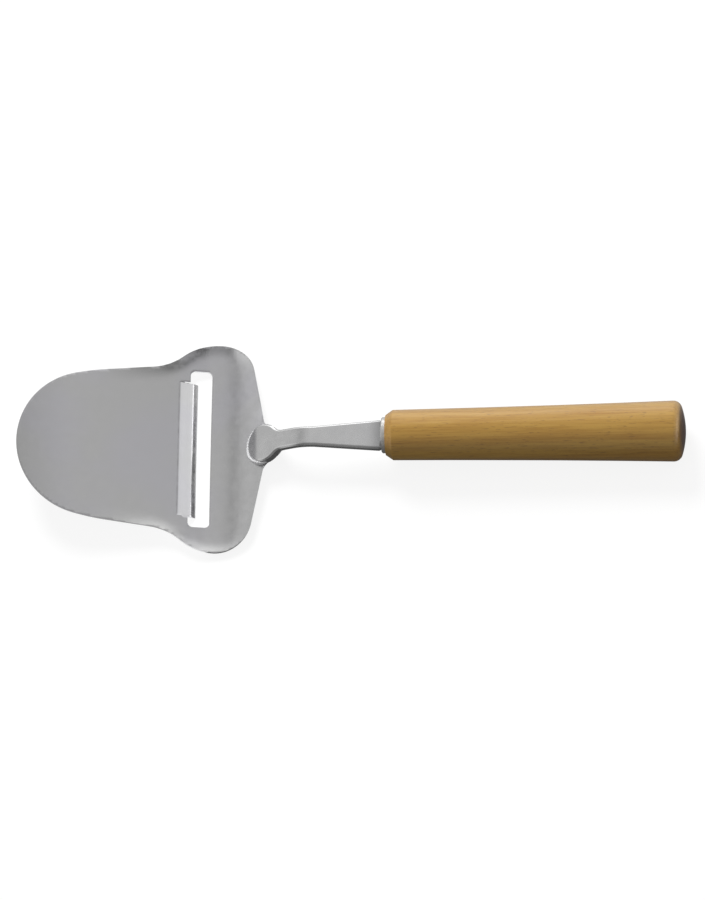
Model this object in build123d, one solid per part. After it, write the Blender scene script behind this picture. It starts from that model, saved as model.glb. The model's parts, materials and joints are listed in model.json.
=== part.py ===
from build123d import *
from math import atan2, cos, degrees, radians, sin, sqrt, tan
import os

# A cheese slicer: a stamped steel blade, a steel shank welded on its neck, and a turned wooden handle.
# Millimetres and degrees. The pieces are built in the blade's own frame, then laid down as the slicer rests:
# x runs from the blade's tip towards the handle, y across it, and z = 0 is the underside of the flat sheet.
# A point of the side view is a flat vector that holds x and z.

# Slot, and the cutting lip bent down in front of it
sheet = 0.9
slot_front = 57.7
slot_width = 7.3
slot_length = 55.0
slot_corner_radius = 1.7
relief_width = 0.3
relief_depth = 2.0
lip_root_run = 3.6
lip_reach = 6.66
lip_length = 47.0
lip_deg = 16.0
lip_bend_radius = 2.5
bevel_run = 2.0
edge_land = 0.12

# Blade outline, in plan
tip_radius = 25.3
cheek_radius = 84.0
cheek_turn_deg = 7.5
side_flare_deg = 6.2
shoulder_radius = 19.0
ear_past_slot = 2.0
ear_reach = 6.05
ear_front_radius = 19.0
ear_back_radius = 11.4
rear_edge_lean_deg = 10.2
neck_blend_radius = 5.0
tab_inset = 0.8

# The rear of the blade curves up to its neck
rise_lead = 2.5
rise_radius = 27.0
rise_deg = 38.0
neck_run = 4.7

# Shank: round pad, narrow neck, bar that widens to its shoulder, and tang
pad_radius = 6.5
pad_height = 3.0
nose_run = 5.0
nose_height = 1.0
root_blend_radius = 4.5
bar_thickness = 2.3
edge_bevel = 0.55
upper_face_lean_deg = 60.0
neck_straight = 4.4
bar_bend_radius = 15.0
bar_length = 27.3
bar_lean_deg = 12.7
waist_half_width = 3.3
waist_past_bend = 4.5
flare_blend_radius = 30.0
shoulder_half_width = 5.15
shoulder_corner_radius = 1.0
tang_length = 62.0
tang_root_half_width = 2.5
tang_tip_half_width = 1.6

# Weld bead round the front of the pad
bead_reach = 0.45
bead_width = 1.5
bead_height = 1.1

# Collar ring between the shank's shoulder and the handle
collar_radius = 6.0
collar_thickness = 1.35
collar_bevel = 0.3
tang_clearance = 0.1

# Handle, bored for the tang
handle_length = 99.5
handle_front_radius = 8.35
handle_middle_radius = 9.0
handle_rear_radius = 10.15
front_bevel_run = 2.4
front_bevel_depth = 1.65
front_edge_radius = 0.6
rear_edge_radius = 2.9
rear_crown = 2.0
bore_radius = 3.1
bore_past_tang = 4.0

# One overrun serves every cut, and the slicer settles on its resting points in a few steps
overrun = 5.0
settling_steps = 8


def heading(angle):
    """The flat unit vector at this many degrees from x."""
    return Vector(cos(radians(angle)), sin(radians(angle)))


def meets_circle(start, direction, centre, distance):
    """The first point along a line that lies at this distance from a centre."""
    offset_from = start - centre
    along = offset_from.dot(direction)
    return start + direction * (-along - sqrt(along**2 - offset_from.length**2 + distance**2))


def frame_at(place, angle):
    """A frame at a point of the side view: x along this angle, y across the slicer, z square to both."""
    way = heading(angle)
    return Plane(origin=(place.X, 0, place.Y), x_dir=(way.X, 0, way.Y), z_dir=(-way.Y, 0, way.X))


def across(side_view, half_width):
    """A side view made solid, as far to each side of the slicer's middle."""
    return extrude((Plane.XZ * side_view).face(), half_width, both=True)


# Stations along the blade, counted from its tip
slot_rear = slot_front + slot_width
lip_bend = slot_front - lip_root_run
bend_start = lip_bend - lip_bend_radius * tan(radians(lip_deg / 2))
rise_start = slot_rear - rise_lead
ear_station = slot_rear + ear_past_slot

# The tip's arc runs into a flatter cheek and a straight flaring side, and the ears stand out past the sides
side_way = heading(side_flare_deg)
side_out = heading(side_flare_deg + 90)
tip_centre = Vector(tip_radius, 0)
cheek_start_deg = side_flare_deg + 90 + cheek_turn_deg
cheek_centre = tip_centre - heading(cheek_start_deg) * (cheek_radius - tip_radius)
side_start = cheek_centre + side_out * cheek_radius
ear_half_width = side_start.Y + (ear_station - side_start.X) * tan(radians(side_flare_deg)) + ear_reach
tab_radius = pad_radius - tab_inset

# The side view, from the sheet's curve to the handle
neck_way = heading(rise_deg)
neck_normal = heading(rise_deg + 90)
bar_way = heading(bar_lean_deg)
rise_centre = Vector(rise_start, rise_radius)
rise_end = rise_centre - neck_normal * rise_radius
pad_seat = rise_end + neck_way * neck_run + neck_normal * sheet
pad_heart = pad_seat + neck_normal * (pad_height - bar_thickness / 2)
root_run = pad_radius + neck_straight
neck_length = root_run + bar_bend_radius * tan(radians((rise_deg - bar_lean_deg) / 2))
bar_corner = pad_heart + neck_way * neck_length
shoulder = bar_corner + bar_way * bar_length
handle_front = shoulder + bar_way * collar_thickness
bore_depth = tang_length - collar_thickness + bore_past_tang
high = handle_front.Y + overrun


def outline_face():
    """The blade's outline in plan."""
    rear = heading(rear_edge_lean_deg - 90)
    rear_out = heading(rear_edge_lean_deg)
    ear_front_centre = Vector(ear_station, ear_half_width - ear_front_radius)
    ear_back_centre = Vector(ear_station, ear_half_width - ear_back_radius)
    shoulder_centre = meets_circle(
        side_start + side_out * shoulder_radius,
        side_way,
        ear_front_centre,
        shoulder_radius + ear_front_radius,
    )
    side_end = shoulder_centre - side_out * shoulder_radius
    ear_start = ear_front_centre + (shoulder_centre - ear_front_centre).normalized() * ear_front_radius
    ear_top = Vector(ear_station, ear_half_width)
    ear_end = ear_back_centre + rear_out * ear_back_radius
    tab_centre = Vector(pad_seat.X, 0)
    blend_centre = meets_circle(
        ear_end + rear_out * neck_blend_radius, rear, tab_centre, neck_blend_radius + tab_radius
    )
    rear_end = blend_centre - rear_out * neck_blend_radius
    tab_start = tab_centre + (blend_centre - tab_centre).normalized() * tab_radius
    half = Curve() + [
        CenterArc(tip_centre, tip_radius, 180, cheek_start_deg - 180),
        CenterArc(cheek_centre, cheek_radius, cheek_start_deg, -cheek_turn_deg),
        Line(side_start, side_end),
        RadiusArc(side_end, ear_start, -shoulder_radius),
        RadiusArc(ear_start, ear_top, ear_front_radius),
        RadiusArc(ear_top, ear_end, ear_back_radius),
        Line(ear_end, rear_end),
        RadiusArc(rear_end, tab_start, -neck_blend_radius),
        RadiusArc(tab_start, tab_centre + Vector(tab_radius, 0), tab_radius),
    ]
    return make_face(half + mirror(half, Plane.XZ)).face()


def column(shape):
    """A plan shape made solid, from below the blade to above everything."""
    return extrude(Plane.XY.offset(-overrun) * shape, high + overrun)


def sheet_side(height):
    """The side view's line at this height over the sheet's underside: flat, curved up, straight to the neck."""
    lift = Vector(0, height)
    curve_end = rise_end + neck_normal * height
    middle = rise_centre - heading(rise_deg / 2 + 90) * (rise_radius - height)
    return Curve() + [
        Line(Vector(-overrun, height), Vector(rise_start, 0) + lift),
        ThreePointArc(Vector(rise_start, 0) + lift, middle, curve_end),
        Line(curve_end, curve_end + neck_way * (neck_run + pad_radius + overrun)),
    ]


def sheet_layer(low, top):
    """What lies between two heights over the sheet's underside, wider than the blade."""
    under = sheet_side(low)
    upper = sheet_side(top)
    ends = [Line(under @ end, upper @ end) for end in (0, 1)]
    return across(make_face(under + upper + ends), ear_half_width + overrun)


def lip_point(along, up):
    """A point on the bent lip, by its distance from the bend and its height over the lip's underside."""
    return Vector(lip_bend, 0) + heading(-lip_deg) * along + heading(90 - lip_deg) * up


def make_lip():
    """The cutting lip: it leaves the sheet in a bend and ends in an edge ground on its upper side."""
    root = Vector(bend_start - overrun, 0)
    upper_root = root + Vector(0, sheet)
    upper_corner = Vector(lip_bend + sheet * tan(radians(lip_deg / 2)), sheet)
    bevel_top = lip_point(lip_reach - bevel_run, sheet)
    edge = lip_point(lip_reach, 0)
    section = Curve() + [
        FilletPolyline(root, lip_point(0, 0), edge, radius=lip_bend_radius),
        FilletPolyline(upper_root, upper_corner, bevel_top, radius=lip_bend_radius + sheet),
        Polyline(bevel_top, lip_point(lip_reach, edge_land), edge),
        Line(root, upper_root),
    ]
    return across(make_face(section), lip_length / 2)


def slot_cut():
    """The plan shape stamped out of the sheet: the slot, the room of the lip, and a relief at each lip end."""
    opening = RectangleRounded(slot_rear - slot_front, slot_length, slot_corner_radius)
    behind_bend = Rectangle(slot_rear - bend_start, lip_length)
    relief = SlotOverall(relief_depth + slot_corner_radius, relief_width)
    relief_x = slot_front + (slot_corner_radius - relief_depth) / 2
    relief_y = (lip_length + relief_width) / 2
    cut = Pos((slot_front + slot_rear) / 2) * opening + Pos((bend_start + slot_rear) / 2) * behind_bend
    return cut + [Pos(relief_x, side * relief_y) * relief for side in (-1, 1)]


def make_blade():
    """The stamped sheet with its slot, and the lip bent down in front of the slot."""
    plate = sheet_layer(0, sheet) & column(outline_face())
    return (plate - column(slot_cut()) + make_lip()).solid()


def make_pad():
    """The round pad with the root of the neck, in the pad's frame, its nose cut to a slope."""
    disc = extrude(Plane.XY.offset(-sheet) * Circle(pad_radius), pad_height + sheet)
    root = Circle(pad_radius) + Pos(root_run / 2) * Rectangle(root_run, 2 * waist_half_width)
    corners = root.vertices().filter_by(lambda corner: corner.X < root_run)
    root = fillet([corner for corner in corners if corner.X > 0], root_blend_radius)
    neck_root = extrude(Plane.XY.offset(pad_height - bar_thickness) * root, bar_thickness)
    nose_drop = pad_height - nose_height
    nose_top = Vector(nose_run - pad_radius, pad_height)
    nose_end = nose_top - Vector(nose_run, nose_drop) * (1 + overrun / nose_run)
    nose = Polyline(nose_top, nose_end, Vector(nose_end.X, nose_top.Y), close=True)
    return disc + neck_root - across(make_face(nose), pad_radius + overrun)


def bar_side():
    """The side view's middle line of the neck and bar."""
    return FilletPolyline(pad_heart, bar_corner, shoulder, radius=bar_bend_radius)


def make_bar():
    """The neck and the bar: an even strip in the side view, waisted in plan."""
    half = FilletPolyline(
        (-neck_length, waist_half_width),
        (waist_past_bend, waist_half_width),
        (bar_length, shoulder_half_width),
        (bar_length, 0),
        radius=[flare_blend_radius, shoulder_corner_radius],
    )
    other = mirror(half, Plane.XZ)
    plan = make_face(Curve() + half + other + Line(half @ 0, other @ 0))
    strip = across(trace(bar_side(), bar_thickness), shoulder_half_width + overrun)
    return strip & frame_at(bar_corner, bar_lean_deg) * extrude(plan, high, both=True)


def bevelled(body):
    """The pad, neck and bar with a bevel along every upper edge."""
    up = frame_at(shoulder, bar_lean_deg).z_dir
    upper = [face for face in body.faces() if face.normal_at().get_angle(up) < upper_face_lean_deg]
    edges = [edge for face in upper for edge in face.edges()]
    rim = [edge for edge in edges if edges.count(edge) == 1]
    return chamfer(rim, edge_bevel)


def make_tang():
    """The tang, in the frame of the shoulder."""
    plan = Polyline(
        (-shoulder_corner_radius, tang_root_half_width),
        (0, tang_root_half_width),
        (tang_length, tang_tip_half_width),
        (tang_length, -tang_tip_half_width),
        (0, -tang_root_half_width),
        (-shoulder_corner_radius, -tang_root_half_width),
        close=True,
    )
    return extrude(make_face(plan), bar_thickness / 2, both=True)


def make_shank():
    """The forged shank in one piece, seated on the blade's neck."""
    pad = frame_at(pad_seat, rise_deg) * make_pad() - sheet_layer(-overrun, sheet)
    tang = frame_at(shoulder, bar_lean_deg) * make_tang()
    return (bevelled(pad + make_bar()) + tang).solid()


def make_weld_bead(shank):
    """The bead of weld metal at the foot of the pad, where the sheet is wider than the pad."""
    outer = pad_radius + bead_reach
    inner = outer - bead_width
    section = Curve() + [
        ThreePointArc((inner, 0, 0), ((inner + outer) / 2, 0, bead_height), (outer, 0, 0)),
        Polyline((outer, 0, 0), (outer, 0, -sheet), (inner, 0, -sheet), (inner, 0, 0)),
    ]
    ring = revolve(make_face(section), Axis.Z)
    above = sheet_layer(sheet, sheet + overrun) & column(outline_face())
    beads = ((frame_at(pad_seat, rise_deg) * ring & above) - shank).solids()
    return max(beads, key=lambda bead: bead.volume)


def make_collar_ring():
    """The thin ring round the tang, between the shank's shoulder and the handle."""
    disc = Pos(collar_thickness / 2) * Rot(0, 90, 0) * Cylinder(collar_radius, collar_thickness)
    disc = chamfer(disc.edges().group_by(Axis.X)[0], collar_bevel)
    hole_width = 2 * (tang_root_half_width + tang_clearance)
    hole = Box(2 * (collar_thickness + overrun), hole_width, bar_thickness + 2 * tang_clearance)
    return (frame_at(shoulder, bar_lean_deg) * (disc - hole)).solid()


def make_handle():
    """The turned handle, bevelled in front and rounded behind, with its bore."""
    rear_x = handle_length - rear_crown
    belly = ThreePointArc(
        (front_bevel_run, handle_front_radius), (rear_x / 2, handle_middle_radius), (rear_x, handle_rear_radius)
    )
    crown = TangentArc((handle_length, 0), (rear_x, handle_rear_radius), tangent=(0, 1))
    front = Polyline(
        (handle_length, 0),
        (0, 0),
        (0, handle_front_radius - front_bevel_depth),
        (front_bevel_run, handle_front_radius),
    )
    half = make_face(Curve() + [belly, crown, front])
    rear_corner = half.vertices().sort_by_distance((rear_x, handle_rear_radius))[0]
    half = fillet(rear_corner, rear_edge_radius)
    front_corner = half.vertices().sort_by_distance((front_bevel_run, handle_front_radius))[0]
    half = fillet(front_corner, front_edge_radius)
    bore = Rot(0, 90, 0) * Cylinder(bore_radius, 2 * bore_depth)
    return (frame_at(handle_front, bar_lean_deg) * (revolve(half, Axis.X) - bore)).solid()


def make_tang_adhesive(shank):
    """The cured adhesive that fills the bore round the tang."""
    fill = Pos(bore_depth / 2) * Rot(0, 90, 0) * Cylinder(bore_radius, bore_depth)
    return (frame_at(handle_front, bar_lean_deg) * fill - shank).solid()


def rest_turn(blade, handle):
    """How far the slicer tips until the edge of its lip and the rear of its handle lie at one level."""
    turn = 0
    for _ in range(settling_steps):
        front = (Rot(0, turn, 0) * blade).bounding_box()
        back = (Rot(0, turn, 0) * handle).bounding_box()
        turn += degrees(atan2(back.min.Z - front.min.Z, back.max.X - front.center().X))
    return turn


def at_rest(pieces):
    """The pieces laid down, with the origin under the middle of their box."""
    tip = Rot(0, rest_turn(pieces["blade"], pieces["handle"]), 0)
    laid = {name: tip * piece for name, piece in pieces.items()}
    box = Compound(list(laid.values())).bounding_box()
    move = Pos(-box.center().X, -box.center().Y, -box.min.Z)
    return {name: move * piece for name, piece in laid.items()}


if __name__ == "__main__":
    os.makedirs("parts", exist_ok=True)
    shank = make_shank()
    pieces = {
        "blade": make_blade(),
        "shank": shank,
        "weld_bead": make_weld_bead(shank),
        "collar_ring": make_collar_ring(),
        "handle": make_handle(),
        "tang_adhesive": make_tang_adhesive(shank),
    }
    for name, piece in at_rest(pieces).items():
        export_step(piece, f"parts/{name}.step")
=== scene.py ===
"""A cheese slicer: satin steel blade with a turned lip, welded shank, bright collar and beech handle."""
import json
import math

import bpy
from mathutils import Matrix, Vector
from mathutils.kdtree import KDTree


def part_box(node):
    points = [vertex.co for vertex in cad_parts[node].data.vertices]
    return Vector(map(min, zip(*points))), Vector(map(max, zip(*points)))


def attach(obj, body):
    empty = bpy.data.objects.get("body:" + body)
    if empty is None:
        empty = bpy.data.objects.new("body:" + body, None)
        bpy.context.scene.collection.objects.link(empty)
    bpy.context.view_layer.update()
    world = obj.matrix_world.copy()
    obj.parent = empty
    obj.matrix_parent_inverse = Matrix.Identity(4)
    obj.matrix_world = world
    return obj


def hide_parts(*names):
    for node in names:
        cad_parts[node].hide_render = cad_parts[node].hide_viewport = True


MM = 0.001

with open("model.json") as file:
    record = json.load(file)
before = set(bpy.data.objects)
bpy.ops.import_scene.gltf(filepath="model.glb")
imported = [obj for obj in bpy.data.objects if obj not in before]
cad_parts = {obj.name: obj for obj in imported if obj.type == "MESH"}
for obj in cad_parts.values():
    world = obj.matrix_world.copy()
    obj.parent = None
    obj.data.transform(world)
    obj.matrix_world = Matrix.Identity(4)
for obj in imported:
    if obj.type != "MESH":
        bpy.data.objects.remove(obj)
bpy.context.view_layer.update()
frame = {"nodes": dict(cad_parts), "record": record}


# The sheet's own frame: it starts at the blade's tip, with x along the sheet and z square to it

sheet_mount = next(m for m in frame["record"]["mounts"] if m["name"] == "blade_underside")
sheet_normal = -Vector(sheet_mount["axis"]).normalized()
sheet_along = Vector((0, 1, 0)).cross(sheet_normal)
sheet_turn = Matrix((sheet_along, (0, 1, 0), sheet_normal)).to_4x4()
blade_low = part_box("blade")[0]
sheet_tip = Vector(sheet_mount["pos_m"])
sheet_tip -= sheet_along * (sheet_tip.x - blade_low.x) / sheet_along.x
row_to_sheet = sheet_turn @ Matrix.Translation(-sheet_tip)
sheet_to_row = row_to_sheet.inverted()


# Hand tools

merge_within = 0.002 * MM


def ease(value):
    """Runs softly from 0 to 1, and stays there past both ends."""
    value = max(0.0, min(1.0, value))
    return value * value * (3 - 2 * value)


def pick(piece):
    """Selects one piece and nothing else."""
    bpy.ops.object.select_all(action="DESELECT")
    piece.select_set(True)
    bpy.context.view_layer.objects.active = piece


def edit(piece):
    """Opens one piece in edit mode with none of its edges selected."""
    pick(piece)
    bpy.ops.object.mode_set(mode="EDIT")
    bpy.ops.mesh.select_mode(type="EDGE")
    bpy.ops.mesh.select_all(action="DESELECT")


def close_edit():
    bpy.ops.object.mode_set(mode="OBJECT")


def cut(plane_place, plane_normal, drop_below=False):
    """Cuts the open piece by a plane, and can take away what lies behind the plane."""
    bpy.ops.mesh.select_all(action="SELECT")
    bpy.ops.mesh.bisect(plane_co=plane_place, plane_no=plane_normal, clear_inner=drop_below)


def merged_copy(node, name, flat_deg):
    """A piece with its own copy of a CAD node's mesh, its loose triangles joined to plain faces."""
    piece = bpy.data.objects.new(name, frame["nodes"][node].data.copy())
    bpy.context.scene.collection.objects.link(piece)
    piece.data.materials.clear()
    edit(piece)
    bpy.ops.mesh.customdata_custom_splitnormals_clear()
    bpy.ops.mesh.select_all(action="SELECT")
    bpy.ops.mesh.remove_doubles(threshold=merge_within)
    bpy.ops.mesh.dissolve_limited(angle_limit=math.radians(flat_deg))
    close_edit()
    return piece


def soften(piece, width, segments, over_deg, chosen=None):
    """Rounds a piece's sharp edges, or the ones among them that chosen picks by place and normals."""
    edit(piece)
    close_edit()
    mesh = piece.data
    normals_at = {}
    for face in mesh.polygons:
        for key in face.edge_keys:
            normals_at.setdefault(key, []).append(face.normal)
    for edge in mesh.edges:
        normals = normals_at.get(edge.key, [])
        middle = (mesh.vertices[edge.vertices[0]].co + mesh.vertices[edge.vertices[1]].co) / 2
        turned = len(normals) == 2 and normals[0].angle(normals[1], 0) > math.radians(over_deg)
        edge.select = turned and (chosen is None or chosen(middle, normals))
    bpy.ops.object.mode_set(mode="EDIT")
    bpy.ops.mesh.bevel(offset=width, segments=segments, profile=0.5, affect="EDGES", clamp_overlap=True)
    close_edit()


def smooth(piece, within_deg, even=False):
    """Shades a piece smoothly; even keeps its flat faces flat beside their rounded edges."""
    pick(piece)
    bpy.ops.object.shade_smooth_by_angle(angle=math.radians(within_deg))
    if even:
        weigh = piece.modifiers.new("even_normals", "WEIGHTED_NORMAL")
        weigh.keep_sharp = True
        bpy.ops.object.modifier_apply(modifier=weigh.name)


def dress(piece, node, material):
    """Fixes a finished piece to the slicer in place of its CAD node."""
    piece.data.materials.clear()
    piece.data.materials.append(material)
    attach(piece, "root")
    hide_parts(node)


# Node tools

def feed(tree, socket, value):
    """Sets a socket to a number or a colour, or links another node's output to it."""
    if isinstance(value, (int, float, tuple)):
        socket.default_value = value
    else:
        tree.links.new(value, socket)


def noise(tree, place, scale, detail, rough=0.5):
    node = tree.nodes.new("ShaderNodeTexNoise")
    for label, value in (("Vector", place), ("Scale", scale), ("Detail", detail), ("Roughness", rough)):
        feed(tree, node.inputs[label], value)
    return node.outputs["Fac"]


def stretch(tree, place, scale, turn=(0, 0, 0)):
    node = tree.nodes.new("ShaderNodeMapping")
    for label, value in (("Vector", place), ("Scale", scale), ("Rotation", turn)):
        feed(tree, node.inputs[label], value)
    return node.outputs["Vector"]


def remap(tree, value, span, onto=(0.0, 1.0), smooth_ends=True):
    """Carries a value from one span to another, and holds it at their ends."""
    node = tree.nodes.new("ShaderNodeMapRange")
    node.interpolation_type = "SMOOTHSTEP" if smooth_ends else "LINEAR"
    for label, source in zip(("From Min", "From Max", "To Min", "To Max", "Value"), (*span, *onto, value)):
        feed(tree, node.inputs[label], source)
    return node.outputs["Result"]


def reckon(tree, operation, *values):
    node = tree.nodes.new("ShaderNodeMath")
    node.operation = operation
    for socket, value in zip(node.inputs, values):
        feed(tree, socket, value)
    return node.outputs[0]


def blend_colors(tree, factor, first, second, kind="MIX"):
    node = tree.nodes.new("ShaderNodeMix")
    node.data_type = "RGBA"
    node.blend_type = kind
    for label, value in (("Factor", factor), ("A", first), ("B", second)):
        feed(tree, next(s for s in node.inputs if s.name == label and s.enabled), value)
    return next(s for s in node.outputs if s.enabled)


def split_axes(tree, vector):
    node = tree.nodes.new("ShaderNodeSeparateXYZ")
    tree.links.new(vector, node.inputs[0])
    return node.outputs


def object_place(tree):
    return tree.nodes.new("ShaderNodeTexCoord").outputs["Object"]


def new_group(name, inputs):
    """A node group with these inputs, which puts out a colour, a roughness and a height."""
    group = bpy.data.node_groups.new(name, "ShaderNodeTree")
    for label, kind, value in inputs:
        socket = group.interface.new_socket(label, in_out="INPUT", socket_type=kind)
        socket.default_value = value
    group.interface.new_socket("Color", in_out="OUTPUT", socket_type="NodeSocketColor")
    group.interface.new_socket("Roughness", in_out="OUTPUT", socket_type="NodeSocketFloat")
    group.interface.new_socket("Height", in_out="OUTPUT", socket_type="NodeSocketFloat")
    return group, group.nodes.new("NodeGroupInput").outputs


def put_out(group, **results):
    """Links the results to the group's outputs of the same names."""
    end = group.nodes.new("NodeGroupOutput")
    for label, result in results.items():
        group.links.new(result, end.inputs[label])


# Satin metal: scales are in waves per metre

cloud_scale = 38.0
cloud_span = (0.4, 0.66)
haze_scale = 420.0
haze_span = (0.3, 0.7)
haze_shade = (0.965, 1.0)
haze_roughness = (-0.03, 0.05)
grit_scale = 2600.0
grit_height = 0.35
long_line_scale = (60.0, 2400.0, 2400.0)
long_line_turn = (0, 0, 0.22)
long_line_span = (0.68, 0.76)
cross_line_scale = (2600.0, 45.0, 600.0)
cross_line_turn = (0, 0, -0.5)
cross_line_span = (0.7, 0.78)
line_shade = 0.07
line_roughness = 0.06
line_depth = 0.5
no_band_from = -10.0
no_band_to = -9.0


def satin_metal_group():
    """Worn satin steel: cloudy tint, fine haze, hairlines along and across, a darker band along x and a band
    of painted shade along x.
    """
    tree, given = new_group("satin_metal", [
        ("Place", "NodeSocketVector", (0, 0, 0)),
        ("Base", "NodeSocketColor", (0.6, 0.6, 0.6, 1)),
        ("Tint", "NodeSocketColor", (0.6, 0.6, 0.64, 1)),
        ("Roughness", "NodeSocketFloat", 0.3),
        ("Scratches", "NodeSocketFloat", 0.5),
        ("Darker From", "NodeSocketFloat", no_band_from),
        ("Darker To", "NodeSocketFloat", no_band_to),
        ("Darkening", "NodeSocketFloat", 0.0),
        ("Shade From", "NodeSocketFloat", no_band_from),
        ("Shade To", "NodeSocketFloat", no_band_to),
        ("Painted Shade", "NodeSocketFloat", 0.0),
    ])
    place = given["Place"]
    clouds = remap(tree, noise(tree, place, cloud_scale, detail=2.0), cloud_span)
    haze = noise(tree, place, haze_scale, detail=3.0)
    grit = noise(tree, place, grit_scale, detail=2.0)
    long_lines = noise(tree, stretch(tree, place, long_line_scale, long_line_turn), scale=1.0, detail=1.0)
    cross_lines = noise(tree, stretch(tree, place, cross_line_scale, cross_line_turn), scale=1.0, detail=1.0)
    long_lines = remap(tree, long_lines, long_line_span)
    cross_lines = remap(tree, cross_lines, cross_line_span)
    lines = reckon(tree, "MULTIPLY", reckon(tree, "MAXIMUM", long_lines, cross_lines), given["Scratches"])
    shade = remap(tree, haze, haze_span, haze_shade)
    shade = reckon(tree, "SUBTRACT", shade, reckon(tree, "MULTIPLY", lines, line_shade))
    along = split_axes(tree, place)["X"]
    # Two bands darken the colour along x: a darker band, and a band of painted shade
    for begins, ends, amount in (("Darker From", "Darker To", "Darkening"), ("Shade From", "Shade To", "Painted Shade")):
        band = remap(tree, along, (given[begins], given[ends]), (1.0, 0.0))
        shade = reckon(tree, "SUBTRACT", shade, reckon(tree, "MULTIPLY", band, given[amount]))
    grey = tree.nodes.new("ShaderNodeCombineColor")
    for socket in grey.inputs:
        tree.links.new(shade, socket)
    tint = blend_colors(tree, clouds, given["Base"], given["Tint"])
    color = blend_colors(tree, 1.0, tint, grey.outputs["Color"], "MULTIPLY")
    rough = reckon(tree, "ADD", given["Roughness"], remap(tree, haze, haze_span, haze_roughness))
    rough = reckon(tree, "SUBTRACT", rough, reckon(tree, "MULTIPLY", lines, line_roughness))
    grain = reckon(tree, "MULTIPLY", grit, grit_height)
    height = reckon(tree, "SUBTRACT", grain, reckon(tree, "MULTIPLY", lines, line_depth))
    put_out(tree, Color=color, Roughness=rough, Height=height)
    return tree


# Turned beech: scales are in waves per metre

band_scale = (9.0, 260.0, 190.0)
band_span = (0.34, 0.68)
band_share = (0.0, 0.55)
fibre_scale = (55.0, 1900.0, 1900.0)
fibre_span = (0.35, 0.7)
fibre_share = (0.0, 0.5)
fibre_roughness_span = (0.3, 0.7)
fibre_roughness = (-0.04, 0.07)
fibre_depth = 0.6
fleck_scale = (420.0, 3200.0, 3200.0)
fleck_span = (0.62, 0.74)
fleck_share = 0.5
fleck_depth = 0.4
end_grain_and_shade_span = (0.1094, 0.1108)


def beech_group():
    """Turned beech: broad growth bands, fine lengthwise pores, short ray flecks and a dark end, end grain
    with painted shade.
    """
    tree, given = new_group("turned_beech", [
        ("Place", "NodeSocketVector", (0, 0, 0)),
        ("Light", "NodeSocketColor", (0.6, 0.35, 0.12, 1)),
        ("Dark", "NodeSocketColor", (0.4, 0.2, 0.06, 1)),
        ("Fleck", "NodeSocketColor", (0.25, 0.1, 0.03, 1)),
        ("End Grain And Shade", "NodeSocketColor", (0.2, 0.1, 0.05, 1)),
        ("Roughness", "NodeSocketFloat", 0.45),
    ])
    place = given["Place"]
    bands = noise(tree, stretch(tree, place, band_scale), scale=1.0, detail=2.0, rough=0.45)
    fibres = noise(tree, stretch(tree, place, fibre_scale), scale=1.0, detail=3.0, rough=0.6)
    flecks = noise(tree, stretch(tree, place, fleck_scale), scale=1.0, detail=1.0, rough=0.4)
    flecks = remap(tree, flecks, fleck_span)
    grain = remap(tree, bands, band_span, band_share)
    grain = reckon(tree, "ADD", grain, remap(tree, fibres, fibre_span, fibre_share))
    color = blend_colors(tree, grain, given["Light"], given["Dark"])
    color = blend_colors(tree, reckon(tree, "MULTIPLY", flecks, fleck_share), color, given["Fleck"])
    # The handle's end is darker: its end grain, and painted shade on the end that turns away from the light
    at_end = remap(tree, split_axes(tree, place)["X"], end_grain_and_shade_span)
    color = blend_colors(tree, at_end, color, given["End Grain And Shade"])
    rough = remap(tree, fibres, fibre_roughness_span, fibre_roughness)
    rough = reckon(tree, "ADD", given["Roughness"], rough)
    depth = reckon(tree, "MULTIPLY", fibres, fibre_depth)
    depth = reckon(tree, "ADD", depth, reckon(tree, "MULTIPLY", flecks, fleck_depth))
    height = reckon(tree, "SUBTRACT", 1.0, depth)
    put_out(tree, Color=color, Roughness=rough, Height=height)
    return tree


# Finishes

def finish_with(name, group, bump_strength, bump_depth, settings, metallic=0.0):
    """A material whose colour, roughness and fine relief come from one node group."""
    material = bpy.data.materials.new(name)
    material.use_nodes = True
    tree = material.node_tree
    shader = tree.nodes["Principled BSDF"]
    effect = tree.nodes.new("ShaderNodeGroup")
    effect.node_tree = group
    for label, value in settings.items():
        effect.inputs[label].default_value = value
    relief = tree.nodes.new("ShaderNodeBump")
    relief.inputs["Strength"].default_value = bump_strength
    relief.inputs["Distance"].default_value = bump_depth
    tree.links.new(object_place(tree), effect.inputs["Place"])
    tree.links.new(effect.outputs["Color"], shader.inputs["Base Color"])
    tree.links.new(effect.outputs["Roughness"], shader.inputs["Roughness"])
    tree.links.new(effect.outputs["Height"], relief.inputs["Height"])
    tree.links.new(relief.outputs["Normal"], shader.inputs["Normal"])
    shader.inputs["Metallic"].default_value = metallic
    return material


satin_metal = satin_metal_group()
turned_beech = beech_group()

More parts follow.
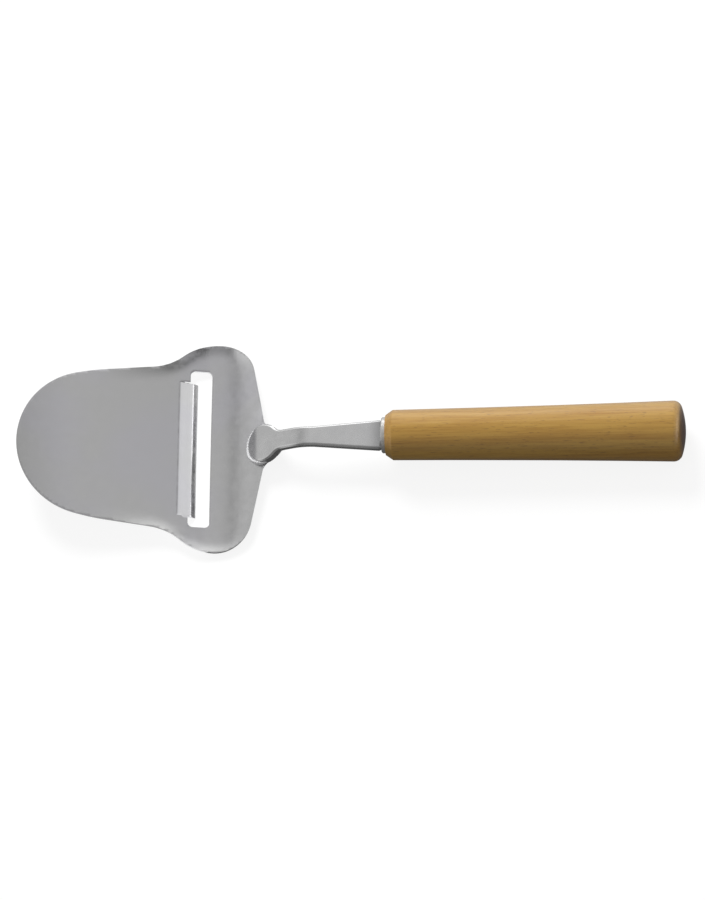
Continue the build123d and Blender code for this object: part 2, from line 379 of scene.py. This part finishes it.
sheet_steel = finish_with(
    "satin_sheet_steel", satin_metal, bump_strength=0.06, bump_depth=0.01 * MM, metallic=1.0, settings={
        "Base": (0.6, 0.6, 0.6, 1),
        "Tint": (0.6, 0.597, 0.622, 1),
        "Roughness": 0.22,
        "Scratches": 0.3,
        # Darker towards the blade's tip
        "Darker From": -0.1172,
        "Darker To": -0.0912,
        "Darkening": 0.19,
    })
forged_steel = finish_with(
    "polished_forged_steel", satin_metal, bump_strength=0.1, bump_depth=0.02 * MM, metallic=1.0, settings={
        "Base": (0.72, 0.72, 0.72, 1),
        "Tint": (0.66, 0.66, 0.67, 1),
        "Roughness": 0.24,
        "Scratches": 0.9,
        # Painted shade on the shank's end, where it meets the collar
        "Darker From": 0.0112,
        "Darker To": 0.005,
        "Darkening": 0.4,
        # Painted shade over the pad and neck, which tones down their reflection
        "Shade From": -0.0185,
        "Shade To": -0.0125,
        "Painted Shade": 0.14,
    })
weld_steel = finish_with(
    "bright_weld_metal", satin_metal, bump_strength=0.4, bump_depth=0.05 * MM, metallic=0.1, settings={
        "Base": (0.84, 0.84, 0.85, 1),
        "Tint": (0.76, 0.76, 0.78, 1),
        "Roughness": 0.34,
        "Scratches": 0.3,
    })
collar_steel = finish_with(
    "bright_turned_collar", satin_metal, bump_strength=0.05, bump_depth=0.01 * MM, metallic=0.5, settings={
        "Base": (0.64, 0.63, 0.61, 1),
        "Tint": (0.6, 0.59, 0.57, 1),
        "Roughness": 0.25,
        "Scratches": 0.4,
    })
oiled_beech = finish_with(
    "oiled_beech", turned_beech, bump_strength=0.25, bump_depth=0.05 * MM, settings={
        "Light": (0.565, 0.325, 0.052, 1),
        "Dark": (0.385, 0.18, 0.014, 1),
        "Fleck": (0.2, 0.085, 0.015, 1),
        "End Grain And Shade": (0.14, 0.065, 0.035, 1),
        "Roughness": 0.4,
    })
oil_coat = oiled_beech.node_tree.nodes["Principled BSDF"].inputs
oil_coat["Coat Weight"].default_value = 0.85
oil_coat["Coat Roughness"].default_value = 0.35
cured_adhesive = finish_with(
    "cured_adhesive", turned_beech, bump_strength=0.2, bump_depth=0.05 * MM, settings={
        "Light": (0.55, 0.48, 0.36, 1),
        "Dark": (0.48, 0.41, 0.3, 1),
        "Fleck": (0.4, 0.33, 0.22, 1),
        "Roughness": 0.6,
    })


# Blade, in the sheet's frame

edge_round = 0.13 * MM
side_face_below = 0.6
outline_step = 0.25 * MM
slot_face_reach = 29 * MM
slot_from = 50 * MM
slot_to = 70 * MM
lip_half_length = 24.6 * MM
lip_edge_from = 59.6 * MM
lip_edge_to = 61.5 * MM
ridge_place = Vector((58.83, 0, -0.42)) * MM
ridge_near = 0.3 * MM
ridge_round = 0.34 * MM
cell = 1.0 * MM
grid_low = (1.5 * MM, -36.7 * MM)
grid_high = (86 * MM, 36.7 * MM)
rim_rise = 0.62 * MM
rim_run = 4.6 * MM
rim_starts = 22 * MM
rim_full = 56 * MM
dish_depth = 0.42 * MM
dish_half_width = 30 * MM
dish_starts = -20 * MM
dish_full = 50 * MM
pad_middle = Vector((85.1, 0)) * MM
pad_keeps = 8 * MM
pad_fades = 7 * MM


def off_cutting_edge(place, normals):
    """Whether an edge isn't part of the lip's cutting edge, which stays sharp."""
    return not (lip_edge_from < place.x < lip_edge_to and abs(place.y) < lip_half_length)


def on_ridge(place, normals):
    """Whether an edge is the ridge along the top of the lip's ground strip."""
    return abs(place.y) < lip_half_length and (place.xz - ridge_place.xz).length < ridge_near


def outer_outline(piece):
    """The places along the sheet's outer outline, seen square on the sheet."""
    mesh = piece.data
    spots = []
    for face in mesh.polygons:
        at = face.center
        beside_slot = abs(at.y) < slot_face_reach and slot_from < at.x < slot_to
        if abs(face.normal.z) < side_face_below and not beside_slot:
            corners = [mesh.vertices[i].co for i in face.vertices]
            for here, there in zip(corners, corners[1:] + corners[:1]):
                steps = max(1, int((there - here).length / outline_step))
                spots += [here.lerp(there, k / steps) for k in range(steps)]
    tree = KDTree(len(spots))
    for index, spot in enumerate(spots):
        tree.insert((spot.x, spot.y, 0), index)
    tree.balance()
    return tree


def cut_grid(piece):
    """Cuts a sheet into cells, so that it can be shaped."""
    edit(piece)
    for axis in (0, 1):
        normal = [0, 0, 0]
        normal[axis] = 1
        for k in range(int((grid_high[axis] - grid_low[axis]) / cell) + 1):
            spot = [0, 0, 0]
            spot[axis] = grid_low[axis] + k * cell
            cut(spot, normal)
    close_edit()


def raise_rim(piece, outline):
    """Turns the sheet's rim up a little beside and behind the slot."""
    for vertex in piece.data.vertices:
        flat = vertex.co.xy
        far = outline.find((flat.x, flat.y, 0))[2]
        near_edge = max(0.0, 1 - far / rim_run)
        along = ease((flat.x - rim_starts) / (rim_full - rim_starts))
        clear_of_pad = ease(((flat - pad_middle).length - pad_keeps) / pad_fades)
        vertex.co.z += rim_rise * near_edge ** 2 * along * clear_of_pad


def dish_sheet(piece):
    """Dishes the sheet a little from side to side, less towards its tip."""
    for vertex in piece.data.vertices:
        along = ease((vertex.co.x - dish_starts) / (dish_full - dish_starts))
        vertex.co.z += dish_depth * along * (vertex.co.y / dish_half_width) ** 2


def make_blade():
    """Stamped sheet with softened edges and a rim that is turned up round its ears."""
    piece = merged_copy("blade", "blade_sheet", flat_deg=0.6)
    piece.data.transform(row_to_sheet)
    soften(piece, ridge_round, segments=3, over_deg=15, chosen=on_ridge)
    soften(piece, edge_round, segments=2, over_deg=20, chosen=off_cutting_edge)
    outline = outer_outline(piece)
    cut_grid(piece)
    dish_sheet(piece)
    raise_rim(piece, outline)
    piece.data.transform(sheet_to_row)
    smooth(piece, within_deg=28)
    dress(piece, "blade", sheet_steel)


# Shank, in the row's frame but for the pad's nose, which is in the pad's

upper_rim_round = 0.36 * MM
other_edge_round = 0.16 * MM
upper_face_over = 0.86
bevel_face_over = 0.2
pad_seat = Vector((82.27, 0, 9.327)) * MM
pad_tilt = math.radians(38)
pad_to_row = sheet_to_row @ Matrix.Translation(pad_seat) @ Matrix.Rotation(-pad_tilt, 4, "Y")
pad_top = 3.0 * MM
nose_line = -1.5 * MM
nose_slope = 0.4
nose_blend = 1.6 * MM
nose_cuts = 8
stays_below = 1.0 * MM
full_below = 0.5 * MM


def on_upper_rim(place, normals):
    """Whether an edge lies between an upper face and the bevel along it."""
    lower, upper = sorted(normal.z for normal in normals)
    return upper > upper_face_over and lower > bevel_face_over


def blend_nose(piece):
    """Polishes the line between the pad's top and its sloped nose to a soft curve."""
    across = (pad_to_row.to_3x3() @ Vector((1, 0, 0))).normalized()
    edit(piece)
    for k in range(nose_cuts + 1):
        at = nose_line + nose_blend * (2 * k / nose_cuts - 1)
        cut(pad_to_row @ Vector((at, 0, pad_top)), across)
    close_edit()
    row_to_pad = pad_to_row.inverted()
    for vertex in piece.data.vertices:
        spot = row_to_pad @ vertex.co
        past = spot.x - nose_line
        if abs(past) < nose_blend:
            creased = pad_top + nose_slope * min(0.0, past)
            curved = pad_top - nose_slope * (nose_blend - past) ** 2 / (4 * nose_blend)
            near_top = ease((spot.z - creased + stays_below) / (stays_below - full_below))
            spot.z += (curved - creased) * near_top
            vertex.co = pad_to_row @ spot


def make_shank():
    """The forging, polished round along its upper edges and eased elsewhere."""
    piece = merged_copy("shank", "shank_forging", flat_deg=0.8)
    soften(piece, upper_rim_round, segments=4, over_deg=25, chosen=on_upper_rim)
    soften(piece, other_edge_round, segments=2, over_deg=28)
    blend_nose(piece)
    smooth(piece, within_deg=40, even=True)
    dress(piece, "shank", forged_steel)


# Weld bead, in the pad's frame; its shares run from 0 at its start to 1 at its end

bead_sides = 14
bead_centre_radius = 6.42 * MM
bead_half_width = 0.58 * MM
bead_lift = 0.6 * MM
bead_from = math.radians(68)
bead_sweep = math.radians(212)
bead_steps = 120
bead_merge_within = 0.0005 * MM
bead_growth = 1.15
grows_from = 0.5
grows_over = 0.3
bead_spread = 0.7
spreads_over = 0.4
bead_drift = 0.3 * MM
drifts_from = 0.55
drifts_over = 0.25
end_size = 0.35
end_fills = 6
ripple = 0.07 * MM
ripple_every = 5


def make_weld_bead():
    """The bead spun round the front of the pad, closed at both ends and rippled along its run."""
    bpy.ops.object.select_all(action="DESELECT")
    bpy.ops.mesh.primitive_circle_add(vertices=bead_sides, radius=bead_half_width, fill_type="NGON")
    piece = bpy.context.object
    piece.name = "weld_ripples"
    upright = Matrix.Rotation(math.pi / 2, 4, "X")
    first_place = Matrix.Translation((bead_centre_radius, 0, bead_lift))
    piece.data.transform(Matrix.Rotation(bead_from, 4, "Z") @ first_place @ upright)
    edit(piece)
    bpy.ops.mesh.select_all(action="SELECT")
    bpy.ops.mesh.spin(steps=bead_steps, angle=bead_sweep, center=(0, 0, 0), axis=(0, 0, -1))
    bpy.ops.mesh.select_all(action="SELECT")
    bpy.ops.mesh.remove_doubles(threshold=bead_merge_within)
    bpy.ops.mesh.normals_make_consistent(inside=False)
    close_edit()
    for vertex in piece.data.vertices:
        flat = vertex.co.xy
        way = flat.normalized()
        turned = (math.atan2(way.y, way.x) - bead_from) % math.tau / bead_sweep
        off_centre = Vector((flat.length - bead_centre_radius, vertex.co.z - bead_lift))
        wave = math.sin(math.tau * turned * bead_steps / ripple_every)
        fullness = min(1.0, end_fills * turned + end_size, end_fills * (1 - turned) + end_size)
        off_centre *= fullness * (1 + ripple * wave / bead_half_width)
        tall = 1 + bead_growth * ease((turned - grows_from) / grows_over)
        wide = 1 + bead_spread * (1 - ease(turned / spreads_over))
        drift = bead_drift * ease((turned - drifts_from) / drifts_over)
        out = bead_centre_radius + drift + off_centre.x * wide
        vertex.co = (way * out).to_3d() + Vector((0, 0, (bead_lift + off_centre.y) * tall))
    piece.data.transform(pad_to_row)
    smooth(piece, within_deg=60)
    dress(piece, "weld_bead", weld_steel)


# Collar and handle

def make_collar():
    piece = merged_copy("collar_ring", "collar_ring_turned", flat_deg=0.5)
    smooth(piece, within_deg=25)
    dress(piece, "collar_ring", collar_steel)


def make_handle():
    piece = merged_copy("handle", "handle_turned", flat_deg=0.3)
    smooth(piece, within_deg=24)
    dress(piece, "handle", oiled_beech)


make_blade()
make_shank()
make_weld_bead()
make_collar()
make_handle()
adhesive_finish = frame["nodes"]["tang_adhesive"].data.materials
adhesive_finish.clear()
adhesive_finish.append(cured_adhesive)


# Camera, set square on the picture's axes as they lie in the sheet's frame

picture_right = Vector((0.99175, 0.01809, 0.13047))
picture_back = Vector((-0.116, -0.343, 0.932))
picture_middle = Vector((109.778, -4.424, 21.733)) * MM
lens_mm = 600.0
pixels_per_film_mm = 25.0
pixels_per_mm = 3.02
clip_end = 50


def place_camera():
    camera = bpy.data.objects.new("camera", bpy.data.cameras.new("camera"))
    bpy.context.scene.collection.objects.link(camera)
    turn = sheet_to_row.to_3x3()
    right = (turn @ picture_right).normalized()
    back = turn @ picture_back
    back = (back - right * back.dot(right)).normalized()
    stand = Matrix((right, back.cross(right), back)).transposed().to_4x4()
    distance = pixels_per_film_mm * lens_mm / pixels_per_mm * MM
    stand.translation = sheet_to_row @ picture_middle + back * distance
    camera.matrix_world = stand
    camera.data.lens = lens_mm
    camera.data.clip_end = clip_end
    bpy.context.scene.camera = camera


place_camera()


# Studio: north is +Y, where the lamp hangs, and east is +X, where the handle points

floor_size = 12
floor_grey = 0.22
floor_glow = 0.86
bounce_grey = 0.2
sheen_north = ((0.004, 0.04), (0.1, 0.9))
sheen_far_west = ((-0.3, -0.15), (0.4, 1.0))
slot_light_east = ((-0.0483, -0.05), (0.0, 1.2))
slot_light_west = ((-0.066, -0.062), (0.45, 1.0))


def bare_material(name):
    """A material with nothing in it but its output."""
    material = bpy.data.materials.new(name)
    material.use_nodes = True
    tree = material.node_tree
    tree.nodes.clear()
    return material, tree, tree.nodes.new("ShaderNodeOutputMaterial").inputs["Surface"]


def diffuse(tree, grey):
    node = tree.nodes.new("ShaderNodeBsdfDiffuse")
    node.inputs["Color"].default_value = (grey, grey, grey, 1)
    return node.outputs[0]


def emission(tree, strength):
    node = tree.nodes.new("ShaderNodeEmission")
    feed(tree, node.inputs["Strength"], strength)
    return node.outputs[0]


def join_shaders(tree, kind, *sources):
    node = tree.nodes.new(kind)
    for source, socket in zip(sources, node.inputs):
        tree.links.new(source, socket)
    return node.outputs[0]


def floor_sheen(tree):
    """Painted light on the floor as the metal sees it: brighter to the north, and a painted pool of light
    below the slot.
    """
    axes = split_axes(tree, object_place(tree))
    level = remap(tree, axes["Y"], *sheen_north)
    level = reckon(tree, "MULTIPLY", level, remap(tree, axes["X"], *sheen_far_west))
    slot_light = remap(tree, axes["X"], *slot_light_east)
    slot_light = reckon(tree, "MULTIPLY", slot_light, remap(tree, axes["X"], *slot_light_west))
    return reckon(tree, "MAXIMUM", level, slot_light)


def lay_floor():
    """Pale floor: white to the camera but for the slicer's soft shadow, and clear from below."""
    bpy.ops.object.select_all(action="DESELECT")
    bpy.ops.mesh.primitive_plane_add(size=floor_size, location=(0, 0, 0))
    floor = bpy.context.object
    floor.name = "floor"
    material, tree, surface = bare_material("pale_floor")
    ray = tree.nodes.new("ShaderNodeLightPath").outputs
    below = tree.nodes.new("ShaderNodeNewGeometry").outputs["Backfacing"]
    clear = tree.nodes.new("ShaderNodeBsdfTransparent").outputs[0]
    seen = join_shaders(tree, "ShaderNodeAddShader", diffuse(tree, floor_grey), emission(tree, floor_glow))
    bounce = diffuse(tree, bounce_grey)
    # The metal sees painted light on the floor, not the floor as it is lit
    mirrored = emission(tree, floor_sheen(tree))
    unseen = join_shaders(tree, "ShaderNodeMixShader", ray["Is Glossy Ray"], bounce, mirrored)
    above = join_shaders(tree, "ShaderNodeMixShader", ray["Is Camera Ray"], unseen, seen)
    tree.links.new(join_shaders(tree, "ShaderNodeMixShader", below, above, clear), surface)
    floor.data.materials.append(material)


canopy_radius = 0.8
canopy_foot = 0.02
canopy_level = 0.65


def canopy_glow(tree):
    """The canopy's painted brightness by direction: bright low down, grey overhead, darker to the south, with
    two painted dark streaks.
    """
    way = tree.nodes.new("ShaderNodeVectorMath")
    way.operation = "NORMALIZE"
    tree.links.new(object_place(tree), way.inputs[0])
    axes = split_axes(tree, way.outputs["Vector"])

    def ramp(axis, span, onto=(0.0, 1.0)):
        return remap(tree, axes[axis], span, onto)

    def streak(axis, centre, reach, strength):
        off = reckon(tree, "ABSOLUTE", reckon(tree, "SUBTRACT", axes[axis], centre))
        return remap(tree, off, (0.0, reach), (strength, 0.0))

    def corner(x_span, y_span, strength):
        return reckon(tree, "MULTIPLY", ramp("X", x_span), ramp("Y", y_span, (0.0, strength)))

    # Painted reflections: each share brightens or darkens the glow that the metal mirrors
    shares = {
        "east": ramp("X", (0.4, 0.76), (0.0, 0.405)),
        "far_east": ramp("X", (0.82, 0.9), (0.0, 1.4)),
        "west": ramp("X", (0.1, -0.3), (0.0, -0.02)),
        "north": ramp("Y", (0.43, 0.85), (-0.01, 0.6)),
        "south": ramp("Y", (0.46, -0.2), (0.02, -0.3)),
        "far_north": ramp("Y", (0.84, 0.97), (0.0, 1.2)),
        "far_south": ramp("Y", (-0.2, -0.85), (0.0, -0.09)),
        "low_south": streak("Y", centre=-0.42, reach=0.32, strength=0.1),
        "low_west": corner((-0.36, -0.62), (0.32, 0.1), strength=0.44),
        "far_west": corner((-0.64, -0.84), (0.4, 0.3), strength=0.07),
        "painted_dark_east": streak("X", centre=0.42, reach=0.11, strength=-0.4),
        "painted_dark_west": streak("X", centre=-0.42, reach=0.22, strength=-0.14),
    }
    level = canopy_level
    for share in shares.values():
        level = reckon(tree, "ADD", level, share)
    return level


def hang_canopy():
    """A curved glowing dome over the table, seen only in the metal: painted reflections that light nothing.
    """
    bpy.ops.object.select_all(action="DESELECT")
    bpy.ops.mesh.primitive_uv_sphere_add(segments=48, ring_count=32, radius=canopy_radius, location=(0, 0, 0))
    canopy = bpy.context.object
    canopy.name = "canopy"
    edit(canopy)
    cut((0, 0, canopy_foot), (0, 0, 1), drop_below=True)
    close_edit()
    material, tree, surface = bare_material("canopy_painted_reflection")
    tree.links.new(emission(tree, canopy_glow(tree)), surface)
    canopy.data.materials.append(material)
    canopy.visible_camera = False
    canopy.visible_diffuse = False
    canopy.visible_shadow = False
    canopy.visible_transmission = False
    canopy.visible_volume_scatter = False


lamp_way = Vector((-0.25, 0.64, 0.73)).normalized()
lamp_distance = 1.2
lamp_size = 0.55
lamp_watts = 10.4


def hang_lamp():
    """One broad soft lamp from the north and above."""
    data = bpy.data.lights.new("north_lamp", "AREA")
    data.shape = "DISK"
    data.size = lamp_size
    data.energy = lamp_watts
    lamp = bpy.data.objects.new("north_lamp", data)
    bpy.context.scene.collection.objects.link(lamp)
    lamp.location = lamp_way * lamp_distance
    lamp.rotation_euler = lamp_way.to_track_quat("Z", "Y").to_euler()
    lamp.visible_glossy = False


world_light = 0.33
world_seen = 1.0


def light_world():
    """White where it is seen, straight or in metal, and a soft fill light elsewhere."""
    world = bpy.data.worlds.new("studio")
    bpy.context.scene.world = world
    world.use_nodes = True
    tree = world.node_tree
    back = tree.nodes["Background"]
    back.inputs["Color"].default_value = (1, 1, 1, 1)
    ray = tree.nodes.new("ShaderNodeLightPath").outputs
    shows = reckon(tree, "MAXIMUM", ray["Is Camera Ray"], ray["Is Glossy Ray"])
    shows = reckon(tree, "MAXIMUM", shows, ray["Is Transmission Ray"])
    level = remap(tree, shows, (0.0, 1.0), (world_light, world_seen), smooth_ends=False)
    tree.links.new(level, back.inputs["Strength"])


lay_floor()
hang_canopy()
hang_lamp()
light_world()
bpy.context.scene.view_settings.view_transform = "Standard"
